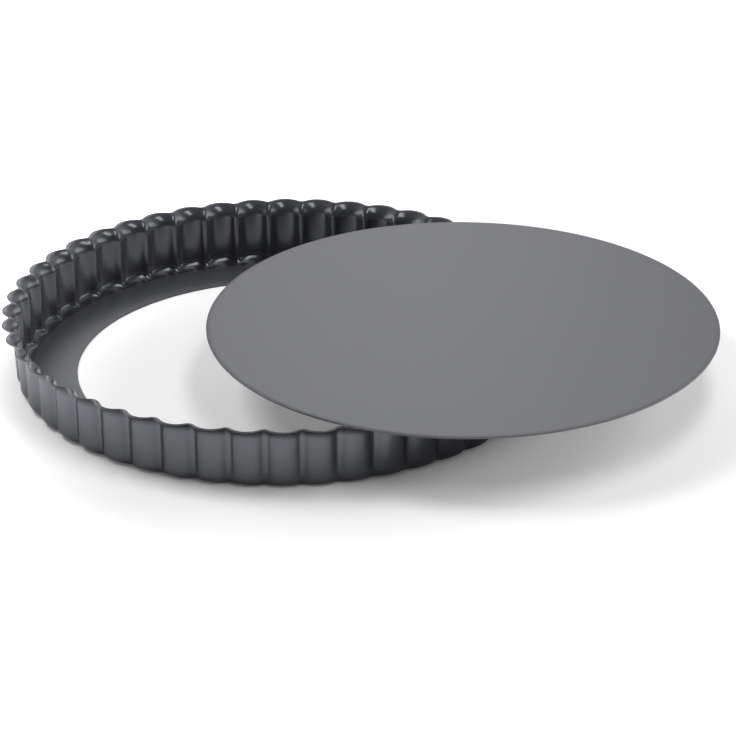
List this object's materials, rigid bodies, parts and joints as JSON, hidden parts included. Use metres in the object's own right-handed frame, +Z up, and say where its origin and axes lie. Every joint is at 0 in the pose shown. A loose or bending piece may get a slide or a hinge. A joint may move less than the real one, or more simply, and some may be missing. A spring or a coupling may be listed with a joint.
{
  "type": "fluted tart pan",
  "caption": "Round fluted tart pan in coated sheet steel: a ring with a flat inner ledge and a flared scalloped lip, and a loose flat base that lies across its rim.",
  "frame": {"origin": "middle of the bottom of the box round both pieces, on the plane that the ring stands on", "axes": "+Z up along the ring's axis, +X to the side that the base is moved to, +Y away from the viewer"},
  "size_m": [0.3546, 0.2898, 0.0337],
  "materials": {
    "ring_coating": "satin dark grey non-stick coating",
    "base_coating": "fine matt dark grey non-stick coating"
  },
  "bodies": {
    "ring": {"fluted_ring": "ring_coating"},
    "base": {"loose_base": "base_coating"}
  },
  "joints": [
    {"name": "base_lift", "type": "slide", "parent": "ring", "child": "base", "axis": [0, 0, 1], "range_m": [0, 0.1]}
  ]
}
